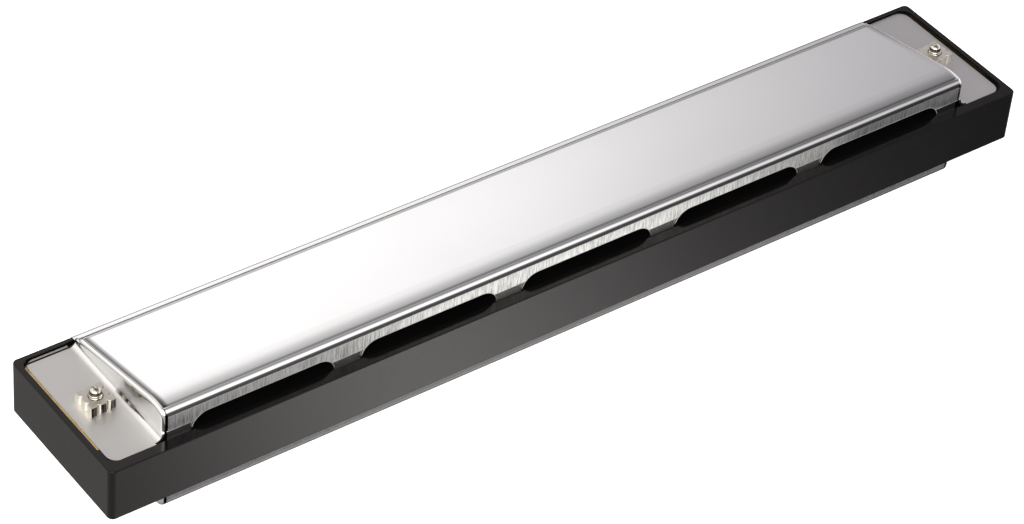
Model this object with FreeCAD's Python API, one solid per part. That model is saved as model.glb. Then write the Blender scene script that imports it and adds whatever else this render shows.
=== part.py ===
import FreeCAD, Part
import math
import os
from FreeCAD import Vector

# A 24-hole tremolo harmonica. X runs along the holes with the low notes at +X, the mouth side faces -Y,
# the sound openings of the covers face +Y, and Z is up with the nuts on top. All sizes are millimetres.

# ---- driving dimensions -------------------------------------------------------------------------------
LENGTH = 180.0          # comb, end to end
DEPTH = 29.1            # comb, mouth face to rear face
COMB_HEIGHT = 9.74      # comb, rim to rim
COVER_RISE = 5.19       # each cover's highest line above the comb's rim
SHEET = 0.4             # cover sheet
PLATE = 1.0             # reed plate thickness
PLATE_REAR = 5.3        # reed plate's rear edge, from the rear face: a ledge of the comb lies behind it
PLATE_GAP = 0.1         # play between a reed plate and its pocket
HOLES = 24              # columns of mouth holes, each with an upper and a lower hole
PITCH = 6.5             # column to column

# ---- comb ---------------------------------------------------------------------------------------------
RIM_REAR = 1.9
RIM_MOUTH = 0.75
RIM_END = 1.0
RIM_OVER_FLANGE = 0.4   # the rim stands this much above the cover's end flanges
RECESS_RADIUS = 2.0
CORNER_RADIUS = 1.0
EDGE_RADIUS = 0.15
CHAMBER_WIDTH = 4.7
CHAMBER_BACK = 6.4      # closed end of a chamber, from the rear face
DIVIDER = 1.0           # web between the upper and lower chambers
HOLE_FLARE = 0.3        # chamfer round each mouth hole

# ---- covers -------------------------------------------------------------------------------------------
WALL_BACK = 2.6         # rear wall, from the comb's rear face
COVER_END = 10.5        # end walls, from the comb's ends
TOP_SLOPE = 10.3        # degrees, down towards the mouth
SHOULDER_BEND = 10.0    # the top plane turns gently over this radius before the tight rear bend
SHOULDER_FALL = 8.0     # degrees, slope of the short flat between the two bends
SHOULDER_FLAT = 0.15
REAR_BEND = 1.4
FRONT_BEND = 2.8
FRONT_LINE = 26.9       # where the top plane turns down, from the rear face
FRONT_STEP = 50.0       # degrees below level
LIP_EDGE = 28.95        # edge of the lip that lies on the mouth-side rim
LIP_FALL = 0.12         # the lip drops this much towards its edge
LIP_TUCK = 0.45         # overlap of the lip with the front step
LIP_ROLL = (0.55, 0.22)  # width and drop of its rolled-down edge
LIP_ROUND = 1.0
END_BEND = 0.8
FLANGE_BEND = 1.2
FLANGE_END = 1.6        # flange edges, from the comb's ends
FLANGE_REAR = 2.2       # from the rear face
FLANGE_MOUTH = 0.95     # from the mouth face
FLANGE_RADIUS = 1.8
SLIT = 0.5              # cut between an end wall and the rear wall
SLIT_INSET = 0.5
SLIT_TOP = 1.0          # the slit stops this far below the cover's highest line
OPENINGS = 5            # sound openings in the rear wall
OPENING_LENGTH = 25.8   # at its foot
TAB_WIDTH = 4.9         # tab between two openings, at its foot
OPENING_RISE = 2.0      # top of an opening above the comb's rim
OPENING_CORNER = 3.0    # length of an opening's rounded corner
TAB_STEP_RISE = 0.9     # the tab's foot is stepped inwards below this height above the rim
TAB_STEP = 0.2

# ---- reeds --------------------------------------------------------------------------------------------
REED_LONG = 17.0        # lowest note
REED_SHORT = 9.2        # highest note
REED_WIDTH = 2.3
REED_TIP_WIDTH = 2.1
REED_THICK = 0.22
REED_ROOT = 9.4         # where the tongue leaves its riveted foot, from the rear face
ROOT_GAP = 0.04         # running gap between the tongue and its foot
SLOT_SIDE = 0.1         # gap on each side of a tongue
SLOT_TIP = 0.15
FOOT_LENGTH = 2.8
FOOT_WIDTH = 3.2
FOOT_THICK = 0.3
RIVET_RADIUS = 0.5
RIVET_HEAD = 0.85
RIVET_CROWN = 0.5       # flat top of a rivet head
RIVET_RISE = 0.35

# ---- fasteners ----------------------------------------------------------------------------------------
BOLT_X = 83.8
BOLT_RADIUS = 1.1
BOLT_HOLE = 1.3
BOLT_HEAD = 2.3         # radius of the head
BOLT_HEAD_HEIGHT = 1.4
BOLT_HEAD_SIDE = 0.85   # upright side of the head
BOLT_HEAD_FLAT = 1.7    # flat of its domed top
BOLT_TIP = 1.55         # end of the bolt above the nut
BOLT_POINT = 0.5        # plain end beyond the last thread
BOLT_SLOT = (0.6, 0.7)  # width and depth of the driver slot
THREAD_PITCH = 0.4
THREAD_DEPTH = 0.18
THREAD_TURNS = 9
NUT_HALF = 2.25
NUT_HEIGHT = 1.8
NUT_BORE = 1.15
NOTCH_AT = 0.85         # notches in each side of the nut, from its middle
NOTCH_HALF = 0.35
NOTCH_DEEP = 0.55
NAIL_RADIUS = 0.4
NAIL_HEAD = 0.75
NAIL_RISE = 0.3
NAIL_LENGTH = 2.4
NAIL_COLUMNS = (-10, -5, 0, 5, 10)   # nails stand on the comb walls this many pitches from the middle
NAIL_REAR = 6.6         # nail rows, from the rear face
NAIL_MOUTH = 27.55

# ---- levels and places worked out from them -----------------------------------------------------------
REAR = DEPTH / 2
END = LENGTH / 2
MID = COVER_RISE + COMB_HEIGHT / 2
RIM_TOP = MID + COMB_HEIGHT / 2
TOP = RIM_TOP + COVER_RISE
FLANGE_TOP = RIM_TOP - RIM_OVER_FLANGE
PLATE_TOP = FLANGE_TOP - SHEET
PLATE_BASE = PLATE_TOP - PLATE
LIP_TOP = RIM_TOP + SHEET + LIP_FALL
PLATE_Y = REAR - PLATE_REAR
WALL_Y = REAR - WALL_BACK
WALL_X = END - COVER_END
ROOT_Y = REAR - REED_ROOT
NUT_TOP = FLANGE_TOP + NUT_HEIGHT
OVER = 1.0              # how far a cutting tool reaches past what it cuts


# ---- helpers ------------------------------------------------------------------------------------------
def box(x0, x1, y0, y1, z0, z1):
    return Part.makeBox(x1 - x0, y1 - y0, z1 - z0, Vector(x0, y0, z0))


def rod(x, y, z0, z1, radius):
    return Part.makeCylinder(radius, z1 - z0, Vector(x, y, z0))


def rounded_box(x0, x1, y0, y1, z0, z1, radius):
    """A box with its four upright corners rounded."""
    block = box(x0, x1, y0, y1, z0, z1)
    return block.makeFillet(radius, upright_edges(block))


def upright_edges(shape):
    return [e for e in shape.Edges if abs(e.Vertexes[0].Z - e.Vertexes[-1].Z) > 1e-6]


def prism(points, direction):
    """A closed outline of straight sides, pushed along a direction."""
    wire = Part.makePolygon(points + [points[0]])
    return Part.Face(wire).extrude(direction)


def turned(outline, x, y):
    """A solid of revolution about the upright line through x, y. The outline is (radius, z) points."""
    wire = Part.makePolygon([Vector(r, 0, z) for r, z in outline + [outline[0]]])
    solid = Part.Face(wire).revolve(Vector(0, 0, 0), Vector(0, 0, 1), 360)
    solid.translate(Vector(x, y, 0))
    return solid


def lower(shape):
    """The same piece on the lower side of the comb."""
    return shape.mirror(Vector(0, 0, MID), Vector(0, 0, 1))


def other_end(shape):
    return shape.mirror(Vector(0, 0, 0), Vector(1, 0, 0))


def both_ends(shape):
    return [shape, other_end(shape)]


def save(name, shapes):
    """One STEP file for a node, holding one solid or a group of separate solids."""
    solids = [s for shape in shapes for s in shape.Solids]
    shape = solids[0] if len(solids) == 1 else Part.makeCompound(solids)
    shape.exportStep(os.path.join("parts", name + ".step"))


def columns():
    """Column numbers from the low end, with the x of their middles."""
    return [(n, (HOLES / 2 - n + 0.5) * PITCH) for n in range(1, HOLES + 1)]


def is_draw(n):
    return n % 2 == 0


def reed_length(n):
    return REED_LONG * (REED_SHORT / REED_LONG) ** ((n - 1) / (HOLES - 1))


def nail_places():
    return [(c * PITCH, REAR - s) for c in NAIL_COLUMNS for s in (NAIL_REAR, NAIL_MOUTH)]


# ---- comb ---------------------------------------------------------------------------------------------
def comb_block():
    block = rounded_box(-END, END, -REAR, REAR, MID - COMB_HEIGHT / 2, RIM_TOP, CORNER_RADIUS)
    rims = [e for e in block.Edges if abs(e.Vertexes[0].Z - e.Vertexes[-1].Z) < 1e-6]
    return block.makeFillet(EDGE_RADIUS, rims)


def recess():
    """The sunk top of the comb that takes the cover's flanges and the feet of its rear wall."""
    return rounded_box(-END + RIM_END, END - RIM_END, -REAR + RIM_MOUTH, REAR - RIM_REAR,
                       PLATE_TOP, RIM_TOP + OVER, RECESS_RADIUS)


def plate_blank(gap, top):
    """The reed plate's outline, smaller all round by gap."""
    return rounded_box(-END + RIM_END + gap, END - RIM_END - gap, -REAR + RIM_MOUTH + gap, PLATE_Y - gap,
                       PLATE_BASE, top, RECESS_RADIUS)


def chamber(x):
    """One upper chamber with its flared mouth hole."""
    half = CHAMBER_WIDTH / 2
    floor = MID + DIVIDER / 2
    room = box(x - half, x + half, -REAR - OVER, REAR - CHAMBER_BACK, floor, PLATE_BASE)
    return room.fuse(hole_flare(x, half, floor, PLATE_BASE))


def hole_flare(x, half, z0, z1):
    def frame(y, grow):
        corners = [(x - half - grow, z0 - grow), (x + half + grow, z0 - grow),
                   (x + half + grow, z1 + grow), (x - half - grow, z1 + grow)]
        return Part.makePolygon([Vector(a, y, b) for a, b in corners + corners[:1]])
    return Part.makeLoft([frame(-REAR + HOLE_FLARE, 0), frame(-REAR, HOLE_FLARE)], True, True)


def make_comb():
    cuts = [recess(), plate_blank(0, RIM_TOP)] + [chamber(x) for n, x in columns()]
    cuts += [rod(x, y, PLATE_BASE - NAIL_LENGTH, PLATE_BASE, NAIL_RADIUS) for x, y in nail_places()]
    cuts += [lower(c) for c in cuts]
    cuts += both_ends(rod(BOLT_X, 0, 0, TOP, BOLT_HOLE))
    return comb_block().cut(cuts)


# ---- reed plates and what is riveted and nailed to them ------------------------------------------------
def slot(n, x):
    half = REED_WIDTH / 2 + SLOT_SIDE
    tip = ROOT_Y - reed_length(n) - SLOT_TIP
    return box(x - half, x + half, tip, ROOT_Y, PLATE_BASE - OVER, PLATE_TOP + OVER)


def make_plate():
    plate = plate_blank(PLATE_GAP, PLATE_TOP)
    cuts = [slot(n, x) for n, x in columns()]
    cuts += [rod(x, rivet_y(), PLATE_BASE - OVER, PLATE_TOP + OVER, RIVET_RADIUS) for n, x in columns()]
    cuts += [rod(x, y, PLATE_BASE - OVER, PLATE_TOP + OVER, NAIL_RADIUS) for x, y in nail_places()]
    cuts += both_ends(rod(BOLT_X, 0, 0, TOP, BOLT_HOLE))
    return plate.cut(cuts)


def rivet_y():
    return ROOT_Y + FOOT_LENGTH / 2


def reed_level(n, thick):
    """Where a reed of this thickness lies: draw reeds on the cover side, blow reeds in the chamber."""
    if is_draw(n):
        return PLATE_TOP, PLATE_TOP + thick
    return PLATE_BASE - thick, PLATE_BASE


def make_tongue(n, x):
    z0, z1 = reed_level(n, REED_THICK)
    root, tip = ROOT_Y - ROOT_GAP, ROOT_Y - reed_length(n)
    wide, narrow = REED_WIDTH / 2, REED_TIP_WIDTH / 2
    outline = [(x - wide, root), (x + wide, root), (x + narrow, tip), (x - narrow, tip)]
    return prism([Vector(a, b, z0) for a, b in outline], Vector(0, 0, z1 - z0))


def make_foot(n, x):
    z0, z1 = reed_level(n, FOOT_THICK)
    foot = box(x - FOOT_WIDTH / 2, x + FOOT_WIDTH / 2, ROOT_Y, ROOT_Y + FOOT_LENGTH, z0, z1)
    return foot.cut(rod(x, rivet_y(), z0 - OVER, z1 + OVER, RIVET_RADIUS))


def make_rivet(n, x):
    """A rivet through foot and plate, headed on both sides."""
    z0, z1 = PLATE_BASE, PLATE_TOP
    if is_draw(n):
        z1 += FOOT_THICK
    else:
        z0 -= FOOT_THICK
    outline = [(0, z0 - RIVET_RISE), (RIVET_CROWN, z0 - RIVET_RISE), (RIVET_HEAD, z0 - RIVET_RISE / 3),
               (RIVET_HEAD, z0), (RIVET_RADIUS, z0), (RIVET_RADIUS, z1), (RIVET_HEAD, z1),
               (RIVET_HEAD, z1 + RIVET_RISE / 3), (RIVET_CROWN, z1 + RIVET_RISE), (0, z1 + RIVET_RISE)]
    return turned(outline, x, rivet_y())


def make_nail(x, y):
    point = PLATE_BASE - NAIL_LENGTH
    outline = [(0, point), (NAIL_RADIUS, point + NAIL_RADIUS), (NAIL_RADIUS, PLATE_TOP),
               (NAIL_HEAD, PLATE_TOP), (NAIL_HEAD, PLATE_TOP + NAIL_RISE / 2),
               (NAIL_HEAD / 2, PLATE_TOP + NAIL_RISE), (0, PLATE_TOP + NAIL_RISE)]
    return turned(outline, x, y)


# ---- covers -------------------------------------------------------------------------------------------
def cover_outline(inset):
    """Section of the cover's dome as (y, z) corners, moved inwards by inset."""
    slope, fall, step = (math.radians(a) for a in (TOP_SLOPE, SHOULDER_FALL, FRONT_STEP))
    apart = SHOULDER_BEND - REAR_BEND
    hub_y = WALL_Y - REAR_BEND - apart * math.sin(fall) - SHOULDER_FLAT * math.cos(fall)
    hub_z = TOP - SHOULDER_BEND         # centre of the shoulder's bend

    def plane_z(y, reach, rise):
        """Height of a plane of this rise towards the rear that touches a circle round the hub."""
        return hub_z + reach / math.cos(rise) + (y - hub_y) * math.tan(rise)

    reach = SHOULDER_BEND - inset
    wall = WALL_Y - inset
    shoulder = hub_y + reach * (1 / math.cos(fall) - 1 / math.cos(slope)) / (math.tan(slope) + math.tan(fall))
    # the step is a line through the outer front corner, moved inwards square to itself
    front_y = REAR - FRONT_LINE
    step_z = plane_z(front_y, SHOULDER_BEND, slope) - inset / math.cos(step) - front_y * math.tan(step)
    corner = (plane_z(0, reach, slope) - step_z) / (math.tan(step) - math.tan(slope))
    foot_z = LIP_TOP - inset
    foot_y = (foot_z - step_z) / math.tan(step)
    return [(wall, PLATE_TOP), (wall, plane_z(wall, reach, -fall)),
            (shoulder, plane_z(shoulder, reach, slope)), (corner, plane_z(corner, reach, slope)),
            (foot_y, foot_z), (foot_y, PLATE_TOP)]


def dome(inset):
    """The cover's dome as a filled block, moved inwards by inset."""
    points = cover_outline(inset)
    reach = WALL_X - inset
    block = prism([Vector(-reach, y, z) for y, z in points], Vector(2 * reach, 0, 0))
    for corner, bend in zip(points[1:4], (REAR_BEND, SHOULDER_BEND, FRONT_BEND)):
        block = rounded_along(block, corner, bend - inset)
    return block.makeFillet(END_BEND - inset, end_edges(block, reach))


def rounded_along(block, corner, radius):
    """Round the lengthwise edge that passes through this (y, z) corner."""
    edges = [e for e in block.Edges
             if all(abs(v.Y - corner[0]) < 1e-4 and abs(v.Z - corner[1]) < 1e-4 for v in e.Vertexes)]
    return block.makeFillet(radius, edges)


def end_edges(block, reach):
    """The edges round both end faces, but for their feet."""
    edges = []
    for e in block.Edges:
        at_end = all(abs(abs(v.X) - reach) < 1e-4 for v in e.Vertexes)
        same_end = abs(e.Vertexes[0].X - e.Vertexes[-1].X) < 1e-4
        above_lip = max(v.Z for v in e.Vertexes) > LIP_TOP + 1e-3
        if at_end and same_end and above_lip:
            edges.append(e)
    return edges


def front_foot():
    """Where the front step meets the lip."""
    return cover_outline(0)[4][0]


def make_lip():
    """The strip of the cover that lies on the comb's mouth-side rim."""
    edge, inner = REAR - LIP_EDGE, front_foot() + LIP_TUCK
    width, drop = LIP_ROLL
    outer_top = RIM_TOP + SHEET
    roll = (edge + width, outer_top)
    section = [(edge, RIM_TOP), (edge, outer_top - drop), roll, (inner, LIP_TOP), (inner, LIP_TOP - SHEET)]
    bar = prism([Vector(-WALL_X, y, z) for y, z in section], Vector(2 * WALL_X, 0, 0))
    return rounded_along(bar, roll, LIP_ROUND)


def opening_tool():
    """One sound opening, with its upper corners rounded as quarter ellipses."""
    half, rise = OPENING_LENGTH / 2, RIM_TOP + OPENING_RISE - PLATE_TOP
    flat = half - OPENING_CORNER
    y, base, low = WALL_Y + OVER, PLATE_TOP, PLATE_TOP - OVER

    def corner(side):
        """Quarter ellipse from the opening's foot up to the end of its straight top."""
        centre = Vector(side * flat, y, base)
        curve = Part.Ellipse(Vector(side * half, y, base), centre + Vector(0, 0, rise), centre)
        return curve.toShape(0, math.pi / 2)

    top = Part.makeLine(Vector(flat, y, base + rise), Vector(-flat, y, base + rise))
    feet = Part.makePolygon([Vector(-half, y, base), Vector(-half, y, low), Vector(half, y, low),
                             Vector(half, y, base)])
    edges = Part.__sortEdges__([corner(1), top, corner(-1)] + feet.Edges)
    return Part.Face(Part.Wire(edges)).extrude(Vector(0, -3 * OVER, 0))


def opening_places():
    step = OPENING_LENGTH + TAB_WIDTH
    return [(i - (OPENINGS - 1) / 2) * step for i in range(OPENINGS)]


def opening_tools():
    tool = opening_tool()
    return [tool.translated(Vector(x, 0, 0)) for x in opening_places()]


def slit_tool():
    outer = WALL_X - SLIT_INSET
    return box(outer - SLIT, outer, WALL_Y - OVER, WALL_Y + OVER, PLATE_TOP - OVER, TOP - SLIT_TOP)


def front_clearance():
    """Below the lip the dome has no front wall: the comb's own rim closes it."""
    inner = cover_outline(SHEET)[3][0]
    reach = WALL_X - SHEET
    return box(-reach, reach, -REAR, inner, PLATE_TOP - OVER, RIM_TOP)


def stepped_feet():
    """The tabs' feet, set inwards below the step."""
    reach = WALL_X - SLIT_INSET - SLIT
    outer = WALL_Y - TAB_STEP
    step = RIM_TOP + TAB_STEP_RISE
    foot = box(-reach, reach, outer - SHEET, outer, PLATE_TOP, step + SHEET)
    return foot.cut(opening_tools())


def step_tool():
    """Takes the wall away below the step, where the stepped feet replace it."""
    reach = WALL_X - SLIT_INSET - SLIT
    return box(-reach, reach, WALL_Y - TAB_STEP, WALL_Y + OVER, PLATE_TOP - OVER, RIM_TOP + TAB_STEP_RISE)


def make_flange():
    """The flange at +X with the bend up into the end wall, and the hole for the bolt."""
    edge_y = REAR - FLANGE_REAR
    plate = rounded_box(WALL_X - 4, END - FLANGE_END, -REAR + FLANGE_MOUTH, edge_y, PLATE_TOP, FLANGE_TOP,
                        FLANGE_RADIUS)
    plate = plate.cut(box(0, WALL_X + FLANGE_BEND, -REAR, REAR, 0, TOP))
    bend = bend_ring().common(box(WALL_X - SHEET, WALL_X + FLANGE_BEND, front_foot(), WALL_Y, PLATE_TOP,
                                  FLANGE_TOP + FLANGE_BEND))
    return plate.fuse(bend).cut(rod(BOLT_X, 0, 0, TOP, BOLT_HOLE)).removeSplitter()


def bend_ring():
    """The bend's hollow cylinder, whose quarter joins the flange to the end wall."""
    start, length = Vector(WALL_X + FLANGE_BEND, -REAR, FLANGE_TOP + FLANGE_BEND), DEPTH
    along = Vector(0, 1, 0)
    outer = Part.makeCylinder(FLANGE_BEND + SHEET, length, start, along)
    return outer.cut(Part.makeCylinder(FLANGE_BEND, length, start, along))


def wall_foot_tool():
    """Takes the end wall away below the bend, which replaces it."""
    return box(WALL_X - SHEET, WALL_X + OVER, -REAR, WALL_Y + OVER, PLATE_TOP - OVER,
               FLANGE_TOP + FLANGE_BEND)


def make_cover():
    shell = dome(0).cut(dome(SHEET))
    cuts = [front_clearance(), step_tool()] + opening_tools()
    cuts += both_ends(slit_tool()) + both_ends(wall_foot_tool())
    shell = shell.cut(cuts)
    return shell.fuse([make_lip(), stepped_feet()] + both_ends(make_flange())).removeSplitter()


# ---- bolts and star nuts ------------------------------------------------------------------------------
def make_bolt():
    """A slotted bolt from below, with rings of thread where its end shows."""
    seat = 2 * MID - FLANGE_TOP
    tip = NUT_TOP + BOLT_TIP
    head = seat - BOLT_HEAD_HEIGHT
    outline = [(0, head), (BOLT_HEAD_FLAT, head), (BOLT_HEAD, seat - BOLT_HEAD_SIDE), (BOLT_HEAD, seat),
               (BOLT_RADIUS, seat)]
    core = BOLT_RADIUS - THREAD_DEPTH
    last = tip - BOLT_POINT
    for turn in range(THREAD_TURNS, 0, -1):
        z = last - turn * THREAD_PITCH
        outline += [(BOLT_RADIUS, z), (core, z + THREAD_PITCH / 2)]
    outline += [(BOLT_RADIUS, last), (core, tip - BOLT_POINT / 2), (core / 2, tip), (0, tip)]
    bolt = turned(outline, 0, 0)
    width, depth = BOLT_SLOT
    bolt = bolt.cut(box(-BOLT_HEAD, BOLT_HEAD, -width / 2, width / 2, head - OVER, head + depth))
    bolt.translate(Vector(BOLT_X, 0, 0))
    return bolt


def make_nut():
    """A square nut with two notches in each side, which leave eight teeth."""
    side = [(-NUT_HALF, NUT_HALF)]
    for at in (-NOTCH_AT, NOTCH_AT):
        side += [(at - NOTCH_HALF, NUT_HALF), (at, NUT_HALF - NOTCH_DEEP), (at + NOTCH_HALF, NUT_HALF)]
    outline = []
    for quarter in range(4):
        turn = -quarter * math.pi / 2
        c, s = math.cos(turn), math.sin(turn)
        outline += [Vector(a * c - b * s, a * s + b * c, FLANGE_TOP) for a, b in side]
    nut = prism(outline, Vector(0, 0, NUT_HEIGHT)).cut(rod(0, 0, 0, TOP, NUT_BORE))
    nut.translate(Vector(BOLT_X, 0, 0))
    return nut


# ---- nodes --------------------------------------------------------------------------------------------
def main():
    os.makedirs("parts", exist_ok=True)
    save("comb", [make_comb()])
    plate, cover = make_plate(), make_cover()
    save("upper_reed_plate", [plate])
    save("lower_reed_plate", [lower(plate)])
    save("upper_cover", [cover])
    save("lower_cover", [lower(cover)])
    feet = [make_foot(n, x) for n, x in columns()]
    rivets = [make_rivet(n, x) for n, x in columns()]
    nails = [make_nail(x, y) for x, y in nail_places()]
    save("reed_feet", feet + [lower(f) for f in feet])
    save("reed_rivets", rivets + [lower(r) for r in rivets])
    save("plate_nails", nails + [lower(n) for n in nails])
    save("cover_bolts", both_ends(make_bolt()))
    save("star_nuts", both_ends(make_nut()))
    for n, x in columns():
        kind = "draw" if is_draw(n) else "blow"
        tongue = make_tongue(n, x)
        save(f"upper_{kind}_reed_{n:02d}", [tongue])
        save(f"lower_{kind}_reed_{n:02d}", [lower(tongue)])


main()
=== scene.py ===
"""Looks of the tremolo harmonica: materials, fine pieces, floor, light and camera around the CAD frame."""
import math

import bmesh
import bpy
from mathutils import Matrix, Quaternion, Vector


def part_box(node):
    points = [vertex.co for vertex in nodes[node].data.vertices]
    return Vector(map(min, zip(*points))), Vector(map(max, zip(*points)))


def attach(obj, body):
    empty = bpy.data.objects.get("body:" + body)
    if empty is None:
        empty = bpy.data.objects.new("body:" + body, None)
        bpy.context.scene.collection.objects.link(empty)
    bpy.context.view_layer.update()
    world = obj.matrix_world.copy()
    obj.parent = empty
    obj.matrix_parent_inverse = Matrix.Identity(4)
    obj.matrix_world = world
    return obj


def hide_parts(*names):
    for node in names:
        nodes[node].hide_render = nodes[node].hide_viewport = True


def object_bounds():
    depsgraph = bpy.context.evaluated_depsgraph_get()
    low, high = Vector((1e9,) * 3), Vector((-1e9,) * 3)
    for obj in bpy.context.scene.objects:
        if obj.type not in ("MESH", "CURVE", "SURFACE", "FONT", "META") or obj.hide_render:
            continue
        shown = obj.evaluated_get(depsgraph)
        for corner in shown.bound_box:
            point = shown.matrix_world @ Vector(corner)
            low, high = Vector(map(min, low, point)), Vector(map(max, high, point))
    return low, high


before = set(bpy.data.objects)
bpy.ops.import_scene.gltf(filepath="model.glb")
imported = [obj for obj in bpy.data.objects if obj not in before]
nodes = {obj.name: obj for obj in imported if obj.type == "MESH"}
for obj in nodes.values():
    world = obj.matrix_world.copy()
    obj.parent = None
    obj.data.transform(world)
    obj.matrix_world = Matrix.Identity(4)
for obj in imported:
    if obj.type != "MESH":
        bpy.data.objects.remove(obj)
cad_low, cad_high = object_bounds()

MM = 0.001
comb_low, comb_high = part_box("comb")
cover_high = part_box("upper_cover")[1]
middle = (comb_low + comb_high) / 2

# ---------------------------------------------------------------- the covers
COVER_SHEET = 0.4 * MM
WALL_X = comb_high.x - 10.5 * MM    # end walls
WALL_Y = comb_high.y - 2.6 * MM     # rear wall's outer face
CREASE_Y = comb_low.y + 1.50 * MM   # where the front step meets the lip
OPENINGS = 5
OPENING_LENGTH = 25.8 * MM
OPENING_CORNER = 3.0 * MM
OPENING_RISE = 2.0 * MM             # above the comb's rim
TAB_WIDTH = 4.9 * MM
STEP_RISE = 0.9 * MM                # the tabs' step, above the comb's rim
SLIT_INSET = 0.8 * MM               # the slit beside each end wall

# heights up or down from the middle of the comb, so that they hold for both covers
WALL_STEP = comb_high.z + STEP_RISE - middle.z
WALL_BEND = cover_high.z - 1.5 * MM - middle.z   # start of the rear bend
FLANGE_FADE = (4.75 * MM, 5.2 * MM)              # the end flanges lie below, the end bends above
CROWN_FADE = (5.7 * MM, 6.2 * MM)                # only the raised plate lies above

# the pressed plate's crown, across the cover and down towards both ends
CROWN_Y = 6.0 * MM
CROWN_RADIUS = 300 * MM
END_CROWN_INSET = 1.9 * MM          # from the end walls
END_CROWN_RADIUS = 9 * MM

# the bead along each punched edge
BURR = 0.06 * MM                    # radius
BURR_SUNK = 0.6                     # part of its radius that the bead sits inside the wall
BURR_TUCK = 0.3 * MM                # its ends run this far below the comb's rim
BURR_SIDES = 8
CORNER_STEPS = 16

# ---------------------------------------------------------------- nuts and bolts
BOLT_X = comb_high.x - 6.2 * MM
NUT_HALF = 2.25 * MM
NUT_NOTCH_AT, NUT_NOTCH_HALF, NUT_NOTCH_DEEP = 0.85 * MM, 0.35 * MM, 0.55 * MM
NUT_CORNER = 0.10 * MM              # curve at each corner of its outline
NUT_EDGE = 0.07 * MM                # rounding of the upper edge
NUT_FOOT_INSET, NUT_FOOT_RISE = 0.06 * MM, 0.05 * MM
NUT_BORE = 1.15 * MM
NUT_CHAMFER = 0.10 * MM
NUT_TURNS = ((1, 2), (-1, 6))       # side of the middle, and degrees off square, as each nut came to rest
NUT_SHARP = 40                      # degrees

BOLT_RADIUS = 1.1 * MM
BOLT_SIDES = 40
BOLT_DOME = 0.62 * MM               # rise of the rounded end
BOLT_SHARP = 50                     # degrees
THREAD_PITCH = 0.40 * MM
THREAD_DEPTH = 0.16 * MM
THREAD_LENGTH = 5.0 * MM            # to the very tip
THREAD_FADE = 1.2 * THREAD_PITCH
THREAD_STEPS = 96
BOLT_CORE = BOLT_RADIUS - THREAD_DEPTH
BOLT_HEAD_RADIUS = 2.3 * MM
BOLT_HEAD_CROWN = 0.55 * MM
BOLT_HEAD_EDGE = 0.05 * MM
SLOT_HALF, SLOT_DEEP = 0.3 * MM, 0.7 * MM
SLOT_OVER = 1 * MM                  # how far the slot's cutter reaches past the head

FLOOR_RADIUS = 3.0
FLOOR_SIDES = 96
FLOOR_GAP = 0.02 * MM               # between the floor and the object

# ---------------------------------------------------------------- camera
CAMERA_AZIMUTH = 140.44      # degrees round from the mouth side
CAMERA_ELEVATION = 40.17     # degrees above the floor
CAMERA_ROLL = 5.50           # degrees, lifting the right of the picture
CAMERA_DISTANCE = 596.6 * MM
CAMERA_LENS = 130.3          # mm on a 36 mm sensor
CAMERA_AIM = Vector((7.0, 1.7, 0)) * MM   # from the middle of the comb


def make_camera():
    azimuth = math.radians(CAMERA_AZIMUTH)
    elevation = math.radians(CAMERA_ELEVATION)
    back = Vector((
        math.sin(azimuth) * math.cos(elevation),
        -math.cos(azimuth) * math.cos(elevation),
        math.sin(elevation),
    ))
    camera = bpy.data.objects.new("camera", bpy.data.cameras.new("camera"))
    bpy.context.collection.objects.link(camera)
    camera.location = middle + CAMERA_AIM + back * CAMERA_DISTANCE
    camera.rotation_mode = "QUATERNION"
    roll = Quaternion((0, 0, 1), math.radians(CAMERA_ROLL))
    camera.rotation_quaternion = (-back).to_track_quat("-Z", "Y") @ roll
    camera.data.lens = CAMERA_LENS
    camera.data.clip_start = 0.01
    camera.data.clip_end = 20
    bpy.context.scene.camera = camera


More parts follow.
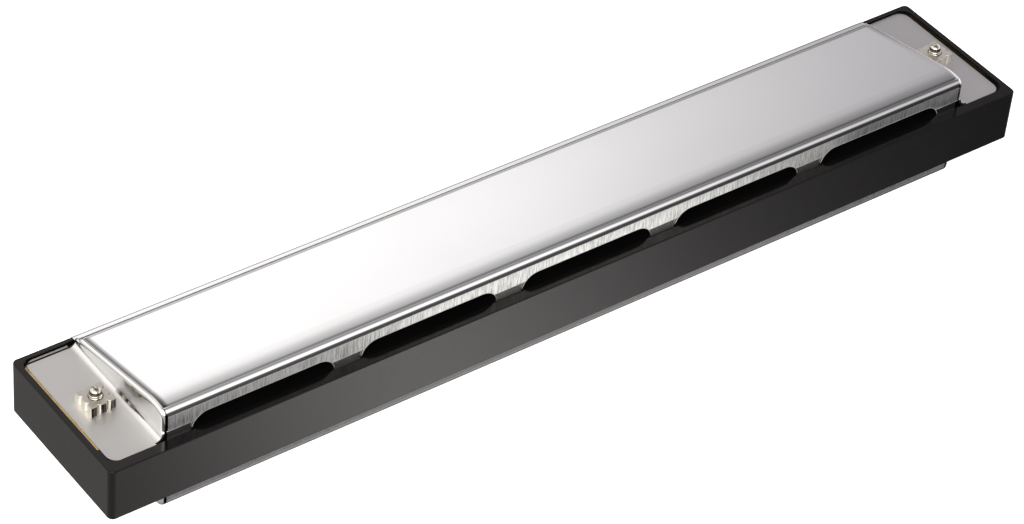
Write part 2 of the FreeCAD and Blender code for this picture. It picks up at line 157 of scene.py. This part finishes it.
# ---------------------------------------------------------------- node helpers
class Nodes:
    """A small hand for building one node tree."""

    def __init__(self, tree):
        self.tree = tree
        tree.nodes.clear()

    def add(self, kind, settings=None, **inputs):
        node = self.tree.nodes.new(kind)
        for name, value in (settings or {}).items():
            setattr(node, name, value)
        for name, value in inputs.items():
            self.put(node.inputs[name.replace("_", " ")], value)
        return node

    def put(self, socket, value):
        if isinstance(value, bpy.types.Node):
            value = value.outputs[0]
        if isinstance(value, bpy.types.NodeSocket):
            self.tree.links.new(value, socket)
        else:
            socket.default_value = value

    def math(self, operation, *values, clamp=False):
        node = self.add("ShaderNodeMath", {"operation": operation, "use_clamp": clamp})
        for socket, value in zip(node.inputs, values):
            self.put(socket, value)
        return node.outputs[0]

    def rescale(self, value, low, high, new_low=0.0, new_high=1.0, smooth=True):
        node = self.add("ShaderNodeMapRange", {"interpolation_type": "SMOOTHSTEP" if smooth else "LINEAR"})
        for socket, number in zip(node.inputs, (value, low, high, new_low, new_high)):
            self.put(socket, number)
        return node.outputs[0]

    def ramp(self, value, stops, interpolation="LINEAR"):
        """stops: (position, colour or grey)."""
        node = self.add("ShaderNodeValToRGB")
        node.color_ramp.interpolation = interpolation
        elements = node.color_ramp.elements
        while len(elements) > 1:
            elements.remove(elements[-1])
        for number, (position, colour) in enumerate(stops):
            element = elements[0] if number == 0 else elements.new(position)
            element.position = position
            grey = isinstance(colour, (int, float))
            element.color = (colour, colour, colour, 1) if grey else (*colour, 1)
        self.put(node.inputs[0], value)
        return node.outputs[0]

    def mix(self, factor, first, second, blend="MIX"):
        node = self.add("ShaderNodeMix", {"data_type": "RGBA", "blend_type": blend})
        self.put(node.inputs["Factor"], factor)
        for socket, value in ((node.inputs[6], first), (node.inputs[7], second)):
            if isinstance(value, tuple) and len(value) == 3:
                value = (*value, 1)
            self.put(socket, value)
        return node.outputs[2]

    def coordinates(self, scale=(1, 1, 1)):
        """Object coordinates in millimetres times scale."""
        texture = self.add("ShaderNodeTexCoord")
        mapping = self.add("ShaderNodeMapping", Scale=tuple(s / MM for s in scale))
        self.put(mapping.inputs["Vector"], texture.outputs["Object"])
        return mapping.outputs[0]

    def noise(self, scale, vector, detail=3.0, roughness=0.5, distortion=0.0):
        node = self.add(
            "ShaderNodeTexNoise", Scale=scale, Detail=detail, Roughness=roughness, Distortion=distortion
        )
        self.put(node.inputs["Vector"], vector)
        return node.outputs[0]

    def parts(self, kind):
        """X, Y and Z of one kind of texture coordinate: Object for a place, Normal for the way it faces."""
        texture = self.add("ShaderNodeTexCoord")
        split = self.add("ShaderNodeSeparateXYZ")
        self.put(split.inputs[0], texture.outputs[kind])
        return split.outputs

    def bump(self, height, strength, distance, normal=None):
        node = self.add("ShaderNodeBump", Strength=strength, Distance=distance)
        self.put(node.inputs["Height"], height)
        if normal is not None:
            self.put(node.inputs["Normal"], normal)
        return node.outputs[0]


def material(name):
    """A new material, its tree and its shader."""
    made = bpy.data.materials.new(name)
    made.use_nodes = True
    tree = Nodes(made.node_tree)
    output = tree.add("ShaderNodeOutputMaterial")
    shader = tree.add("ShaderNodeBsdfPrincipled")
    tree.put(output.inputs[0], shader)
    return made, tree, shader


# ---------------------------------------------------------------- materials
def black_plastic():
    made, tree, shader = material("gloss_black_plastic")
    cloud = tree.noise(0.05, tree.coordinates(), detail=4)
    fine = tree.noise(2.5, tree.coordinates(), detail=6, roughness=0.7)
    colour = tree.mix(cloud, (0.0035, 0.0034, 0.0035), (0.006, 0.0057, 0.0056))
    tree.put(shader.inputs["Base Color"], colour)
    shader.inputs["IOR"].default_value = 1.5
    shader.inputs["Specular IOR Level"].default_value = 0.29
    shader.inputs["Specular Tint"].default_value = (1.0, 0.93, 0.91, 1)
    tree.put(shader.inputs["Roughness"], tree.rescale(fine, 0.3, 0.75, 0.09, 0.15))
    tree.put(shader.inputs["Normal"], tree.bump(fine, 0.05, 0.02 * MM))
    return made


def cover_chrome():
    """Chromed sheet: polished crowned plate, dull end flanges with painted shade towards -X, drawn rear wall
    with painted shade on the lower cover, and a painted dark line of shade in the crease.
    """
    made, tree, shader = material("cover_chrome")
    place, facing = tree.parts("Object"), tree.parts("Normal")
    height = tree.math("ABSOLUTE", tree.math("SUBTRACT", place[2], middle.z))
    along = tree.math("ABSOLUTE", place[0])
    up = tree.math("ABSOLUTE", facing[2])
    # the wall's drawn band: from the tabs' step up to the start of the rear bend, on both covers,
    # with the pale marks fading towards the ends
    step = tree.rescale(height, WALL_STEP - 0.04 * MM, WALL_STEP + 0.04 * MM, 0.25, 1.0)
    bend = tree.rescale(height, WALL_BEND - 0.05 * MM, WALL_BEND + 0.2 * MM, 1.0, 0.0)
    rear = tree.rescale(facing[1], 0.90, 0.97)
    outside = tree.rescale(place[1], WALL_Y - 0.5 * MM, WALL_Y - 0.1 * MM)
    middle_part = tree.ramp(tree.rescale(place[0], -WALL_X, WALL_X, smooth=False), [
        (0.0, 0.10), (0.13, 0.10), (0.21, 0.45), (0.35, 0.85),
        (0.5, 1.0), (0.68, 0.95), (0.83, 0.45), (1.0, 0.25),
    ], "EASE")
    band = tree.math("MULTIPLY", tree.math("MULTIPLY", step, bend), tree.math("MULTIPLY", rear, outside))
    drawn = tree.math("MULTIPLY", band, middle_part)
    # fine upright scratches, denser towards the wall's foot
    lines = tree.noise(5.5, tree.coordinates((1, 0.02, 0.07)), detail=6, roughness=0.7, distortion=0.2)
    heavy = tree.noise(1.3, tree.coordinates((1, 0.02, 0.10)), detail=3, roughness=0.55)
    marks = tree.math("MULTIPLY", tree.rescale(lines, 0.36, 0.58), tree.rescale(heavy, 0.30, 0.46, 0.55, 1.0))
    denser = tree.rescale(height, WALL_STEP, WALL_BEND, 1.2, 0.5, smooth=False)
    marks = tree.math("MULTIPLY", marks, denser, clamp=True)
    # colours: the plate, the end flanges, darker towards -X with painted shade, and the rear wall, darker on
    # the lower cover with painted shade under the comb
    flange = tree.math("MULTIPLY", tree.rescale(height, *FLANGE_FADE, 1.0, 0.0), tree.rescale(up, 0.6, 0.95))
    cloud = tree.noise(0.06, tree.coordinates(), detail=4)
    fine = tree.noise(3.0, tree.coordinates((0.15, 1, 1)), detail=5, roughness=0.65)
    plate = tree.mix(cloud, (0.79, 0.785, 0.785), (0.82, 0.82, 0.825))
    # painted shade on the lower cover's rear wall, which lies under the comb
    lower_cover_shade = tree.rescale(place[2], middle.z - 1 * MM, middle.z + 1 * MM, 1.0, 0.0)
    wall = tree.mix(marks, (0.40, 0.40, 0.39), (1.0, 1.0, 0.985))
    wall = tree.mix(lower_cover_shade, wall, (0.15, 0.15, 0.15))
    # painted shade on the end flanges, growing towards -X
    toward_x = tree.rescale(place[0], -WALL_X, WALL_X)
    shaded_flange = tree.mix(toward_x, (0.58, 0.565, 0.58), (0.80, 0.785, 0.775))
    plate = tree.mix(flange, plate, shaded_flange)
    plate = tree.mix(band, plate, tree.mix(marks, (0.20, 0.20, 0.205), (0.42, 0.42, 0.43)))
    # the crease's dark line, painted shade in the concave bend, which starts at the middle and is full
    # towards +X
    beside = tree.math("ABSOLUTE", tree.math("SUBTRACT", place[1], CREASE_Y))
    crease = tree.rescale(beside, 0.12 * MM, 0.24 * MM, 1.0, 0.0)
    crease = tree.math("MULTIPLY", crease, tree.rescale(place[0], 0.0, 50 * MM))
    colour = tree.mix(drawn, plate, wall)
    tree.put(shader.inputs["Base Color"], tree.mix(crease, colour, (0.01, 0.01, 0.01)))
    tree.put(shader.inputs["Metallic"], tree.rescale(drawn, 0.0, 1.0, 1.0, 0.15, smooth=False))
    # roughness: dull flanges, end walls a little duller than the plate, rough drawn band
    end = tree.rescale(tree.math("ABSOLUTE", facing[0]), 0.5, 0.9)
    polished = tree.rescale(fine, 0.3, 0.7, 0.08, 0.12)
    dull = tree.math("MULTIPLY_ADD", flange, 0.45, tree.math("MULTIPLY", end, 0.04))
    rough = tree.rescale(lines, 0.3, 0.7, 0.55, 0.45)
    blend = tree.add("ShaderNodeMix", {"data_type": "FLOAT"})
    for number, value in ((0, band), (2, tree.math("ADD", polished, dull)), (3, rough)):
        tree.put(blend.inputs[number], value)
    tree.put(shader.inputs["Roughness"], blend.outputs[0])
    # crown of the pressed plate, also gently down towards both ends, and the scratches' depth
    across = tree.math("SUBTRACT", place[1], CROWN_Y)
    crown = tree.math("MULTIPLY", tree.math("MULTIPLY", across, across), -0.5 / CROWN_RADIUS)
    beyond = tree.math("MAXIMUM", tree.math("SUBTRACT", along, WALL_X - END_CROWN_INSET), 0.0)
    crown = tree.math("MULTIPLY_ADD", tree.math("MULTIPLY", beyond, beyond), -0.5 / END_CROWN_RADIUS, crown)
    level = tree.math("MULTIPLY", tree.rescale(up, 0.9, 0.95), tree.rescale(height, *CROWN_FADE))
    pressed = tree.bump(tree.math("MULTIPLY", crown, level), 1.0, 1.0)
    scratched = tree.bump(tree.math("MULTIPLY", lines, drawn), 0.25, 0.02 * MM, pressed)
    tree.put(shader.inputs["Normal"], scratched)
    return made


def plain_metal(name, dark, light, low, high, metallic=1.0):
    """Cloudy metal with a fine grain, between two colours and two roughnesses."""
    made, tree, shader = material(name)
    cloud = tree.noise(0.4, tree.coordinates(), detail=5)
    fine = tree.noise(6.0, tree.coordinates((0.2, 1, 1)), detail=5, roughness=0.65)
    tree.put(shader.inputs["Base Color"], tree.mix(cloud, dark, light))
    shader.inputs["Metallic"].default_value = metallic
    tree.put(shader.inputs["Roughness"], tree.rescale(fine, 0.3, 0.7, low, high))
    return made


def brass(name, dark, light, grain, low, high):
    """Brass with cloudy tarnish, brown specks and the fine lines of rolling or filing."""
    made, tree, shader = material(name)
    cloud = tree.noise(0.25, tree.coordinates(), detail=5, roughness=0.6)
    lines = tree.noise(4.0, tree.coordinates(grain), detail=5, roughness=0.65)
    specks = tree.noise(1.6, tree.coordinates(), detail=4, roughness=0.6)
    worn = tree.mix(tree.rescale(cloud, 0.35, 0.65), dark, light)
    lined = tree.mix(tree.rescale(lines, 0.35, 0.65, 0.0, 0.25), worn, dark)
    spotted = tree.mix(tree.rescale(specks, 0.60, 0.70, 0.0, 0.55), lined, (0.28, 0.17, 0.07))
    tree.put(shader.inputs["Base Color"], spotted)
    shader.inputs["Metallic"].default_value = 1
    tree.put(shader.inputs["Roughness"], tree.rescale(lines, 0.3, 0.7, low, high))
    tree.put(shader.inputs["Normal"], tree.bump(lines, 0.2, 0.01 * MM))
    return made


def nut_nickel():
    """Nickel plate on a stamped nut: satin cream top, and sheared sides, pale, or darkened with painted shade
    where they face the rear and -X.
    """
    made, tree, shader = material("nut_nickel")
    place, facing = tree.parts("Object"), tree.parts("Normal")
    side = tree.rescale(facing[2], 0.25, 0.7, 1.0, 0.0)
    # the sides towards the rear and -X are darkened with painted shade, and more of them on the nut at +X
    limit = tree.rescale(place[0], -10 * MM, 10 * MM, -0.55, 0.15)
    turned_away = tree.math("SUBTRACT", facing[0], limit)
    painted_side_shade = tree.rescale(turned_away, 0.0, 0.25, 1.0, 0.0)
    painted_side_shade = tree.math("MULTIPLY", painted_side_shade, tree.rescale(facing[1], -0.2, 0.2))
    sheared = tree.noise(2.2, tree.coordinates((1, 1, 0.12)), detail=4, roughness=0.6)
    fine = tree.noise(5.0, tree.coordinates(), detail=5, roughness=0.65)
    top = tree.mix(fine, (0.66, 0.63, 0.56), (0.78, 0.75, 0.68))
    pale = tree.mix(sheared, (0.70, 0.66, 0.57), (0.95, 0.93, 0.85))
    # the painted shade's colour: near black, mottled like the sheared metal
    dark = tree.mix(tree.rescale(sheared, 0.42, 0.60), (0.012, 0.010, 0.008), (0.16, 0.14, 0.11))
    tree.put(shader.inputs["Base Color"], tree.mix(side, top, tree.mix(painted_side_shade, pale, dark)))
    shader.inputs["Metallic"].default_value = 0.9
    tree.put(shader.inputs["Roughness"], tree.rescale(fine, 0.3, 0.7, 0.36, 0.46))
    tree.put(shader.inputs["Normal"], tree.bump(fine, 0.05, 0.01 * MM))
    return made


def bolt_nickel():
    """Nickel plate on the bolts, with painted shade in the thread's valleys but not on the rounded end."""
    made, tree, shader = material("bolt_nickel")
    place = tree.parts("Object")
    beside = tree.math("SUBTRACT", tree.math("ABSOLUTE", place[0]), BOLT_X)
    square = tree.math("MULTIPLY_ADD", beside, beside, tree.math("MULTIPLY", place[1], place[1]))
    radius = tree.math("SQRT", square)
    valley = tree.rescale(radius, BOLT_CORE, BOLT_RADIUS - 0.25 * THREAD_DEPTH, 1.0, 0.0)
    off_dome = tree.rescale(radius, BOLT_CORE - 0.08 * MM, BOLT_CORE, 0.0, 1.0)
    fine = tree.noise(5.0, tree.coordinates(), detail=5, roughness=0.65)
    metal = tree.mix(fine, (0.62, 0.58, 0.50), (0.78, 0.74, 0.66))
    # painted shade in the thread's valleys, kept off the rounded end
    valley_shade = tree.math("MULTIPLY", valley, off_dome)
    tree.put(shader.inputs["Base Color"], tree.mix(valley_shade, metal, (0.05, 0.042, 0.032)))
    shader.inputs["Metallic"].default_value = 1
    tree.put(shader.inputs["Roughness"], tree.rescale(fine, 0.3, 0.7, 0.20, 0.30))
    return made


def dress(node, made):
    """Gives a CAD node its material."""
    obj = nodes[node]
    for number in range(len(obj.material_slots)):
        obj.material_slots[number].material = made
    if not obj.material_slots:
        obj.data.materials.append(made)


# ---------------------------------------------------------------- fine pieces
def piece(name, points, faces, made, slot_name):
    """A mesh piece that rides on the harmonica's body."""
    mesh = bpy.data.meshes.new(name)
    mesh.from_pydata([tuple(p) for p in points], [], faces)
    mesh.validate()
    for polygon in mesh.polygons:
        polygon.use_smooth = True
    mesh.materials.append(made)
    obj = bpy.data.objects.new(name, mesh)
    bpy.context.collection.objects.link(obj)
    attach(obj, "harmonica_body")
    return obj


def joined(parts):
    """Several (points, faces) as one."""
    points, faces = [], []
    for more_points, more_faces in parts:
        start = len(points)
        points += more_points
        faces += [[start + i for i in face] for face in more_faces]
    return points, faces


def stacked(rings, closed_ends=True):
    """Closed rings of equal length joined in turn, with flat caps."""
    count = len(rings[0])
    points = [p for ring in rings for p in ring]
    faces = []
    for level in range(len(rings) - 1):
        for i in range(count):
            a, b = level * count + i, level * count + (i + 1) % count
            faces.append([a, b, b + count, a + count])
    if closed_ends:
        faces.append(list(range(count))[::-1])
        faces.append([(len(rings) - 1) * count + i for i in range(count)])
    return points, faces


def moved(shape, x, y=0.0):
    points, faces = shape
    return [Vector(p) + Vector((x, y, 0)) for p in points], faces


def turned(shape, degrees):
    """The same shape turned about its own upright axis."""
    spin = Quaternion((0, 0, 1), math.radians(degrees))
    points, faces = shape
    return [spin @ Vector(p) for p in points], faces


def turned_over(shape):
    """The same shape on the lower side of the comb."""
    points, faces = shape
    return [Vector((p[0], p[1], 2 * middle.z - p[2])) for p in points], [face[::-1] for face in faces]


def rounded_outline(corners, radius, steps=4):
    """A flat outline with each corner replaced by a small curve."""
    points = []
    for i, corner in enumerate(corners):
        before, after = Vector(corners[i - 1]), Vector(corners[(i + 1) % len(corners)])
        corner = Vector(corner)
        start = corner + (before - corner).normalized() * radius
        end = corner + (after - corner).normalized() * radius
        for k in range(steps + 1):
            t = k / steps
            points.append(start * (1 - t) ** 2 + corner * 2 * t * (1 - t) + end * t ** 2)
    return points


def inset(outline, distance):
    """The outline moved inwards, for an outline that runs clockwise seen from above."""
    moved_points = []
    for i, point in enumerate(outline):
        along = (outline[(i + 1) % len(outline)] - outline[i - 1]).normalized()
        moved_points.append(point + Vector((along.y, -along.x)) * distance)
    return moved_points


def nut_shape(base, top):
    """A stamped square nut with two notches a side, softened edges and a small chamfer round its bore."""
    corners = []
    for quarter in range(4):
        side = [(-NUT_HALF, NUT_HALF)]
        for at in (-NUT_NOTCH_AT, NUT_NOTCH_AT):
            side += [(at - NUT_NOTCH_HALF, NUT_HALF), (at, NUT_HALF - NUT_NOTCH_DEEP),
                     (at + NUT_NOTCH_HALF, NUT_HALF)]
        c, s = math.cos(quarter * math.pi / 2), math.sin(quarter * math.pi / 2)
        corners += [(a * c + b * s, -a * s + b * c) for a, b in side]
    outline = rounded_outline(corners, NUT_CORNER)
    rings = []

    def outer(z, distance):
        rings.append([Vector((p.x, p.y, z)) for p in inset(outline, distance)])

    def round_bore(z, radius):
        rings.append([Vector((p.x, p.y, 0)).normalized() * radius + Vector((0, 0, z)) for p in outline])

    outer(base, NUT_FOOT_INSET)
    outer(base + NUT_FOOT_RISE, 0)
    outer(top - NUT_EDGE, 0)
    for degrees in (30, 60, 90):
        a = math.radians(degrees)
        outer(top - NUT_EDGE * (1 - math.sin(a)), NUT_EDGE * (1 - math.cos(a)))
    outer(top, NUT_EDGE * 1.5)
    round_bore(top, NUT_BORE + NUT_CHAMFER)
    round_bore(top - NUT_CHAMFER, NUT_BORE)
    round_bore(base, NUT_BORE)
    points, faces = stacked(rings, closed_ends=False)
    # the underside joins the bore's foot to the outline's
    count = len(outline)
    last = (len(rings) - 1) * count
    faces += [[last + i, last + (i + 1) % count, (i + 1) % count, i] for i in range(count)]
    return points, [face[::-1] for face in faces]


def make_nuts():
    low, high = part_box("star_nuts")
    shape = nut_shape(low.z, high.z)
    points, faces = joined([moved(turned(shape, angle), side * BOLT_X) for side, angle in NUT_TURNS])
    nuts = piece("stamped_star_nuts", points, faces, nut_nickel(), "nut_nickel")
    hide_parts("star_nuts")
    keep_edges(nuts, NUT_SHARP)


def keep_edges(obj, degrees):
    """Edges sharper than this stay crisp."""
    obj.data.set_sharp_from_angle(angle=math.radians(degrees))


def bolt_shape(head, seat, tip):
    """A bolt whose thread is a real helix near its end, standing on its pan head."""
    rings = []

    def ring(z, radius):
        angles = [2 * math.pi * i / BOLT_SIDES for i in range(BOLT_SIDES)]
        rings.append([Vector((radius * math.cos(a), radius * math.sin(a), z)) for a in angles])

    # pan head, from its crown up to its seat
    for degrees in (0, 12, 24, 36, 48, 60, 72, 82, 90):
        a = math.radians(degrees)
        ring(head + BOLT_HEAD_CROWN * (1 - math.cos(a)),
             BOLT_HEAD_EDGE + (BOLT_HEAD_RADIUS - BOLT_HEAD_EDGE) * math.sin(a))
    ring(seat - BOLT_HEAD_EDGE, BOLT_HEAD_RADIUS)
    ring(seat, BOLT_HEAD_RADIUS - BOLT_HEAD_EDGE)
    ring(seat, BOLT_RADIUS)
    # thread: a rounded wave that climbs one pitch each turn and fades out at the rounded end
    thread_start = tip - THREAD_LENGTH
    ring(thread_start, BOLT_RADIUS)
    for k in range(1, THREAD_STEPS + 1):
        z = thread_start + (tip - BOLT_DOME - thread_start) * k / THREAD_STEPS
        fade = min(1.0, (tip - BOLT_DOME - z) / THREAD_FADE)
        ends = []
        for i in range(BOLT_SIDES):
            turn_part = ((z - thread_start) / THREAD_PITCH - i / BOLT_SIDES) % 1.0
            wave = abs(2 * turn_part - 1)
            radius = BOLT_RADIUS - THREAD_DEPTH * (1 - (1 - wave) * fade)
            a = 2 * math.pi * i / BOLT_SIDES
            ends.append(Vector((radius * math.cos(a), radius * math.sin(a), z)))
        rings.append(ends)
    for degrees in (15, 30, 45, 60, 75, 88):
        a = math.radians(degrees)
        ring(tip - BOLT_DOME + BOLT_DOME * math.sin(a), BOLT_CORE * math.cos(a))
    return stacked(rings)


def cut_slot(obj, middles, head):
    """Cuts the driver slot across each head."""
    boxes = []
    for x in middles:
        half_long = BOLT_HEAD_RADIUS + SLOT_OVER
        low, high = head - SLOT_OVER, head + SLOT_DEEP
        ring_low = [Vector((x - half_long, -SLOT_HALF, low)), Vector((x + half_long, -SLOT_HALF, low)),
                    Vector((x + half_long, SLOT_HALF, low)), Vector((x - half_long, SLOT_HALF, low))]
        boxes.append(stacked([ring_low, [p + Vector((0, 0, high - low)) for p in ring_low]]))
    points, faces = joined(boxes)
    mesh = bpy.data.meshes.new("slot_cutter")
    mesh.from_pydata([tuple(p) for p in points], [], faces)
    cutter = bpy.data.objects.new("slot_cutter", mesh)
    bpy.context.collection.objects.link(cutter)
    cut = obj.modifiers.new("slot", "BOOLEAN")
    cut.object = cutter
    cut.operation = "DIFFERENCE"
    cut.solver = "EXACT"
    graph = bpy.context.evaluated_depsgraph_get()
    result = bpy.data.meshes.new_from_object(obj.evaluated_get(graph))
    obj.modifiers.clear()
    obj.data = result
    bpy.data.objects.remove(cutter)


def make_bolts():
    low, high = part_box("cover_bolts")
    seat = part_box("lower_reed_plate")[0].z - COVER_SHEET
    shape = bolt_shape(low.z, seat, high.z)
    points, faces = joined([moved(shape, side * BOLT_X) for side in (1, -1)])
    bolts = piece("threaded_bolts", points, faces, bolt_nickel(), "bolt_nickel")
    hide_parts("cover_bolts")
    cut_slot(bolts, (BOLT_X, -BOLT_X), low.z)
    keep_edges(bolts, BOLT_SHARP)


def tube(path, radius):
    """A closed bead that follows a path in an upright plane facing the rear."""
    rings = []
    for i, point in enumerate(path):
        ahead = (path[min(i + 1, len(path) - 1)] - path[max(i - 1, 0)]).normalized()
        side = ahead.cross(Vector((0, 1, 0))).normalized()
        rings.append([point + (side * math.cos(a) + Vector((0, 1, 0)) * math.sin(a)) * radius
                      for a in (2 * math.pi * k / BURR_SIDES for k in range(BURR_SIDES))])
    return stacked(rings)


def burr_paths():
    """The punched edges of the upper cover's rear wall: over each opening, and along each tab's step."""
    plate_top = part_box("upper_reed_plate")[1].z
    rise = comb_high.z + OPENING_RISE - plate_top
    step_z = comb_high.z + STEP_RISE

    def corner_point(start, side, angle):
        return Vector((start + side * OPENING_CORNER * (1 - math.cos(angle)), WALL_Y,
                       plate_top + rise * math.sin(angle)))

    at_rim, at_step = (math.asin((z - plate_top) / rise) for z in (comb_high.z - BURR_TUCK, step_z))
    angles = [at_rim + (math.pi / 2 - at_rim) * k / CORNER_STEPS for k in range(CORNER_STEPS + 1)]
    paths = []
    # ends of the step's runs: each run goes from one opening, or from the slit at an end, to the next
    ends = [-(WALL_X - SLIT_INSET)]
    for number in range(OPENINGS):
        centre = (number - (OPENINGS - 1) / 2) * (OPENING_LENGTH + TAB_WIDTH)
        left, right = centre - OPENING_LENGTH / 2, centre + OPENING_LENGTH / 2
        rising = [corner_point(left, 1, a) for a in angles]
        falling = [corner_point(right, -1, a) for a in reversed(angles)]
        paths.append(rising + falling)
        ends += [corner_point(left, 1, at_step).x, corner_point(right, -1, at_step).x]
    ends.append(WALL_X - SLIT_INSET)
    for a, b in zip(ends[::2], ends[1::2]):
        paths.append([Vector((a, WALL_Y, step_z)), Vector((b, WALL_Y, step_z))])
    return paths


def make_burrs():
    """The punched edges of each rear wall, as thin dull beads of bare metal."""
    bead = moved(joined([tube(path, BURR) for path in burr_paths()]), 0, -BURR_SUNK * BURR)
    for name, shape in (("upper_cover_burr", bead), ("lower_cover_burr", turned_over(bead))):
        piece(name, *shape, cut_edge, "cover_chrome")


# ---------------------------------------------------------------- floor and light
def make_floor():
    shape = bmesh.new()
    bmesh.ops.create_circle(shape, cap_ends=True, segments=FLOOR_SIDES, radius=FLOOR_RADIUS)
    mesh = bpy.data.meshes.new("floor")
    shape.to_mesh(mesh)
    shape.free()
    floor = bpy.data.objects.new("floor", mesh)
    bpy.context.collection.objects.link(floor)
    floor.location.z = cad_low.z - FLOOR_GAP
    made, _, shader = material("pale_floor")
    shader.inputs["Base Color"].default_value = (0.9, 0.9, 0.9, 1)
    shader.inputs["Roughness"].default_value = 0.9
    shader.inputs["Emission Color"].default_value = (1, 1, 1, 1)
    shader.inputs["Emission Strength"].default_value = 0.85
    mesh.materials.append(made)
    floor.visible_glossy = False


def turn(degrees):
    """A ramp position for an angle in the plane across the harmonica: 0 rear, 90 up, 180 mouth, -90 down."""
    return (degrees + 180) / 360


def reach(x):
    """A ramp position for how far a direction points along the harmonica, from -1 to 1."""
    return (x + 1) / 2


def curve(tree, value, place, stops):
    """A curve through (angle or reach, brightness or colour) stops."""
    return tree.ramp(value, [(place(at), tone) for at, tone in stops])


def make_world():
    """A studio all round: a pale room, and towards -X a set with ceiling, soft box, sweep and table."""
    world = bpy.data.worlds.new("studio")
    bpy.context.scene.world = world
    world.use_nodes = True
    tree = Nodes(world.node_tree)
    output = tree.add("ShaderNodeOutputWorld")
    background = tree.add("ShaderNodeBackground")
    tree.put(output.inputs[0], background)
    x, y, z = tree.parts("Generated")
    angle = tree.math("MULTIPLY_ADD", tree.math("ARCTAN2", z, y), 1 / (2 * math.pi), 0.5)
    along = tree.rescale(x, -1, 1, smooth=False)

    # above the table, from the rear over the top: soft box, ceiling, and the sweep at the mouth side
    above = curve(tree, angle, turn, (
        (-180, 0.45), (-174, 0.3), (-168, 0.05), (-4, 0.08), (4, 0.05), (7, 0.06), (13, 0.25), (20, 0.75),
        (27, 1.3), (46, 1.3), (54, 0.85), (62, 0.5), (73, 0.27), (95, 0.22), (112, 0.24), (116, 0.31),
        (120, 0.42), (124, 0.55), (128, 0.69), (133, 0.80), (137, 0.88), (141, 0.94), (151, 1.0),
        (158, 1.08), (162, 1.08), (167, 0.75), (172, 0.55), (180, 0.45),
    ))
    above_along = curve(tree, along, reach, (
        (-0.60, 0.48), (-0.58, 0.55), (-0.564, 0.63), (-0.53, 0.80), (-0.494, 1.06), (-0.455, 1.18),
        (-0.40, 1.30), (-0.37, 1.25), (-0.33, 0.7), (-0.28, 0.24), (-0.16, 0.16), (-0.05, 0.3), (0.05, 1.2),
        (0.15, 1.5),
    ))
    # the table, with the bright patch that the comb's rear face shows
    below = curve(tree, angle, turn, (
        (-180, 0.45), (-174, 0.3), (-168, 0.05), (-150, 0.08), (-125, 0.22),
        (-64, 0.22), (-38, 0.10), (-4, 0.06), (2, 0.3),
    ))
    below = tree.mix(1.0, below, curve(tree, along, reach, ((-0.62, 0.3), (-0.50, 1.0))), "MULTIPLY")
    patch = curve(tree, angle, turn, ((-62, 0.0), (-55, 2.9), (-42, 2.9), (-37, 0.0)))
    patch_along = curve(tree, along, reach, (
        (-0.60, 0.0), (-0.575, 0.03), (-0.552, 0.08), (-0.53, 0.19), (-0.507, 0.42), (-0.48, 0.76),
        (-0.455, 1.0), (-0.43, 0.76), (-0.40, 0.38), (-0.38, 0.17), (-0.3, 0.2),
    ))
    upper = tree.mix(1.0, above, above_along, "MULTIPLY")
    under = tree.mix(1.0, below, tree.mix(1.0, patch, patch_along, "MULTIPLY"), "ADD")
    set_light = tree.mix(tree.rescale(z, -0.05, 0.03), under, upper)

    # the rest of the room, with a strong light behind the viewer's left
    room = curve(tree, tree.rescale(z, -1, 1, smooth=False), reach, (
        (-1.0, 0.35), (-0.5, 0.52), (-0.03, 0.70), (0.05, 0.95),
        (0.3, 1.25), (0.75, 1.3), (0.9, 0.8), (1.0, 0.5),
    ))
    behind = tree.math("MULTIPLY", tree.rescale(y, 0.0, 0.3), tree.rescale(z, 0.0, 0.25))
    behind = tree.math("MULTIPLY", behind, tree.rescale(x, 0.12, 0.3))
    room = tree.mix(behind, room, (3.2, 3.2, 3.15))
    # the set stands between these two reaches, and its tint warms along them
    near = tree.rescale(x, -0.80, -0.68)
    far = tree.rescale(x, -0.02, 0.12, 1.0, 0.0)
    light = tree.mix(tree.math("MULTIPLY", near, far), room, set_light)
    warm = curve(tree, along, reach, (
        (-0.65, (1.0, 0.97, 1.01)), (-0.5, (1.0, 0.985, 0.985)),
        (-0.38, (1.0, 0.985, 0.975)), (0.2, (1.0, 0.98, 0.95)),
    ))
    tree.put(background.inputs[0], tree.mix(1.0, light, warm, "MULTIPLY"))
    background.inputs[1].default_value = 1.0


make_camera()
make_floor()
make_world()
bpy.context.scene.view_settings.view_transform = "Standard"

chrome = cover_chrome()
plate_brass = brass("plate_brass", (0.60, 0.42, 0.18), (0.72, 0.53, 0.26), (0.03, 1, 1), 0.22, 0.38)
reed_brass = brass("reed_brass", (0.66, 0.48, 0.22), (0.78, 0.60, 0.31), (1, 0.05, 1), 0.16, 0.30)
rivet_brass = brass("rivet_brass", (0.64, 0.47, 0.22), (0.80, 0.63, 0.34), (1, 1, 1), 0.20, 0.34)
nail_brass = brass("nail_brass", (0.56, 0.42, 0.20), (0.72, 0.57, 0.30), (1, 1, 0.3), 0.24, 0.40)
nickel = plain_metal("nickel", (0.70, 0.67, 0.60), (0.82, 0.79, 0.72), 0.14, 0.24)
cut_edge = plain_metal("cut_edge", (0.50, 0.50, 0.49), (0.70, 0.70, 0.69), 0.35, 0.5, metallic=0.5)

dress("comb", black_plastic())
for cover in ("upper_cover", "lower_cover"):
    dress(cover, chrome)
for plate in ("upper_reed_plate", "lower_reed_plate"):
    dress(plate, plate_brass)
for name in nodes:
    if "_reed_" in name and not name.endswith("plate"):
        dress(name, reed_brass)
dress("reed_feet", reed_brass)
dress("reed_rivets", rivet_brass)
dress("plate_nails", nail_brass)
for name in ("cover_bolts", "star_nuts"):
    dress(name, nickel)
make_nuts()
make_bolts()
make_burrs()
